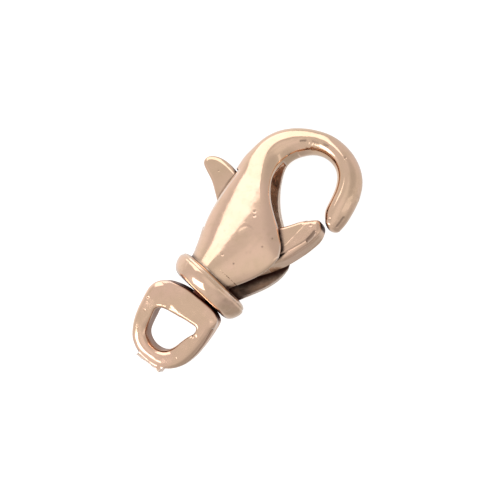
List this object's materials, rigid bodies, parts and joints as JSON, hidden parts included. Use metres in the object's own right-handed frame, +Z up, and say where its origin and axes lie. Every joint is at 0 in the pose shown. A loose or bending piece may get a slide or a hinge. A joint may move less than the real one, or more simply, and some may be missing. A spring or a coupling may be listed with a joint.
{
  "type": "swivel lobster clasp",
  "caption": "Lobster-claw clasp in rose gold finish, with a curved hook, a sprung gate with a thumb tab, and a swivelling loop at the collar.",
  "frame": {"origin": "on the table, under the centre of the clasp's bounding box; the clasp lies on its side as it would on a table", "axes": "+X along the clasp from the swivel loop to the hook, +Y to the side of the thumb tab, +Z up. The hook's plane leans 8 degrees, because the clasp lies on its collar and the back of its hook."},
  "size_m": [0.0224, 0.0118, 0.0064],
  "materials": {
    "body_plate": "polished rose gold plating over a brass casting",
    "lever_plate": "polished rose gold plating over a brass casting",
    "pin_plate": "polished rose gold plating over a brass rivet",
    "loop_plate": "polished rose gold plating, slightly rough from casting",
    "spring_steel": "bright spring wire"
  },
  "bodies": {
    "claw": {"claw_body": "body_plate", "pivot_pin": "pin_plate", "gate_spring": "spring_steel"},
    "lever": {"gate_lever": "lever_plate"},
    "loop": {"swivel_loop": "loop_plate"}
  },
  "joints": [
    {"name": "gate_pivot", "type": "hinge", "parent": "claw", "child": "lever", "pos_m": [0.00112, -0.00153, 0.00254], "axis": [0.1449, 0.0394, 0.9887], "range_deg": [0, 27], "stiffness_Nm_per_rad": 0.00135, "springref_deg": -68.75, "deforming": ["gate_spring"]},
    {"name": "swivel", "type": "hinge", "parent": "claw", "child": "loop", "pos_m": [-0.00371, -0.00133, 0.00324], "axis": [0.9894, 0, -0.145], "continuous": true}
  ]
}
